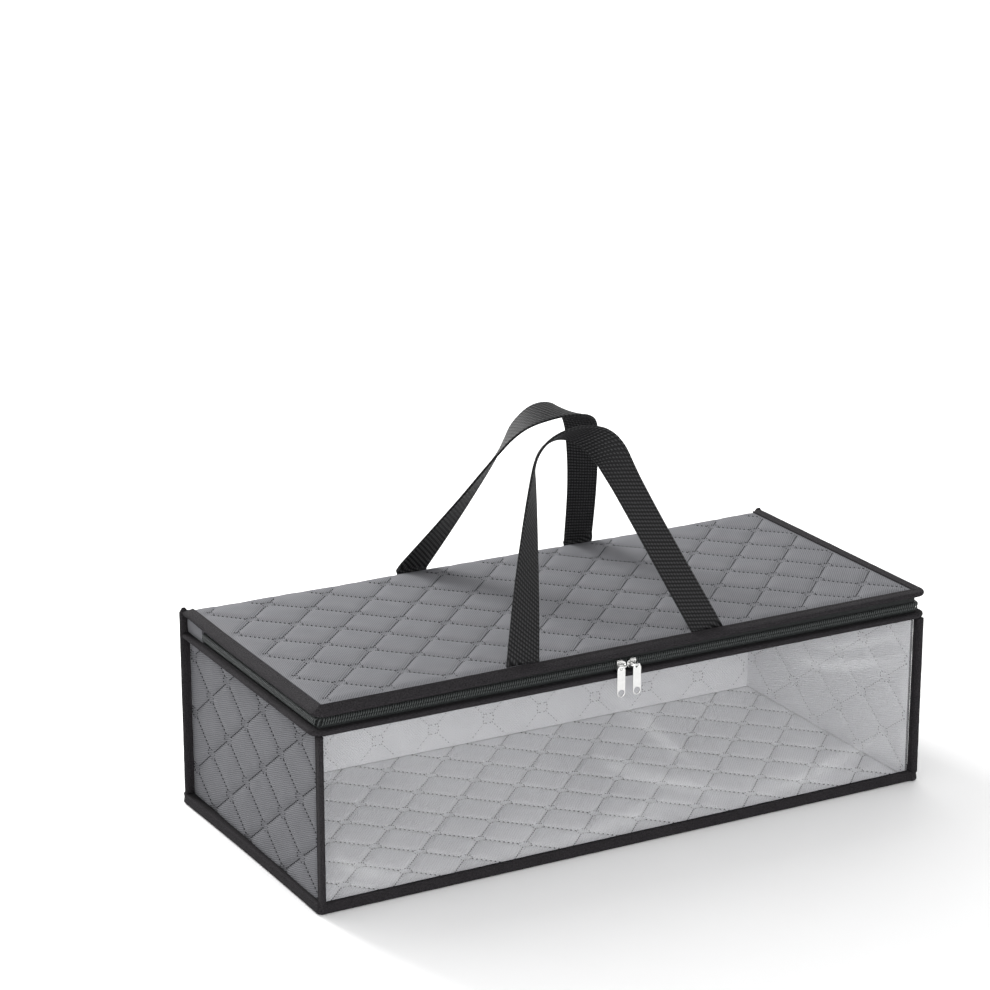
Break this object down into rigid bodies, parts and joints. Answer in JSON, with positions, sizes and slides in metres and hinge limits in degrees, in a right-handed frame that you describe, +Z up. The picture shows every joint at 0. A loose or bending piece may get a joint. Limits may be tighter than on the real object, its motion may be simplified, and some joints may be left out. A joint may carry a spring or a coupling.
{
  "type": "baseball cap carrier case",
  "caption": "Low oblong quilted carrier case with a clear front, a zipped flap lid, bound seams and two webbing carrying handles.",
  "frame": {"origin": "centre of the base, on the surface that the case stands on", "axes": "+X along the case's length to the right seen from the clear front, +Y from the clear front to the back, +Z up"},
  "size_m": [0.5462, 0.2524, 0.323],
  "materials": {
    "quilted_cloth": "matt grey laminated cloth quilted in diamonds, pale on its inner face",
    "clear_film": "clear flexible film with soft creases",
    "seam_tape": "matt black folded seam tape",
    "zip_cloth": "fine ribbed black zip tape",
    "zip_chain": "black coiled zip teeth",
    "slider_metal": "bright silver cast metal",
    "webbing": "black woven carrying strap"
  },
  "bodies": {
    "case": {"lid_and_back_panel": "quilted_cloth", "bottom_panel": "quilted_cloth", "left_side_panel": "quilted_cloth", "right_side_panel": "quilted_cloth", "zip_end_left": "quilted_cloth", "zip_end_right": "quilted_cloth", "front_window": "clear_film", "lid_binding": "seam_tape", "rim_binding": "seam_tape", "bottom_binding": "seam_tape", "corner_binding_front_left": "seam_tape", "corner_binding_front_right": "seam_tape", "corner_binding_back_left": "seam_tape", "corner_binding_back_right": "seam_tape", "zip_tape_upper": "zip_cloth", "zip_tape_lower": "zip_cloth", "zip_chain": "zip_chain", "slider_left": "slider_metal", "slider_right": "slider_metal", "handle_front": "webbing", "handle_back": "webbing"},
    "pull_left": {"pull_left": "slider_metal"},
    "pull_right": {"pull_right": "slider_metal"}
  },
  "joints": [
    {"name": "pull_left_swing", "type": "hinge", "parent": "case", "child": "pull_left", "pos_m": [-0.0138, -0.1275, 0.1508], "axis": [-1, 0, 0], "range_deg": [0, 160]},
    {"name": "pull_right_swing", "type": "hinge", "parent": "case", "child": "pull_right", "pos_m": [-0.0046, -0.1275, 0.1508], "axis": [-1, 0, 0], "range_deg": [0, 160]}
  ]
}
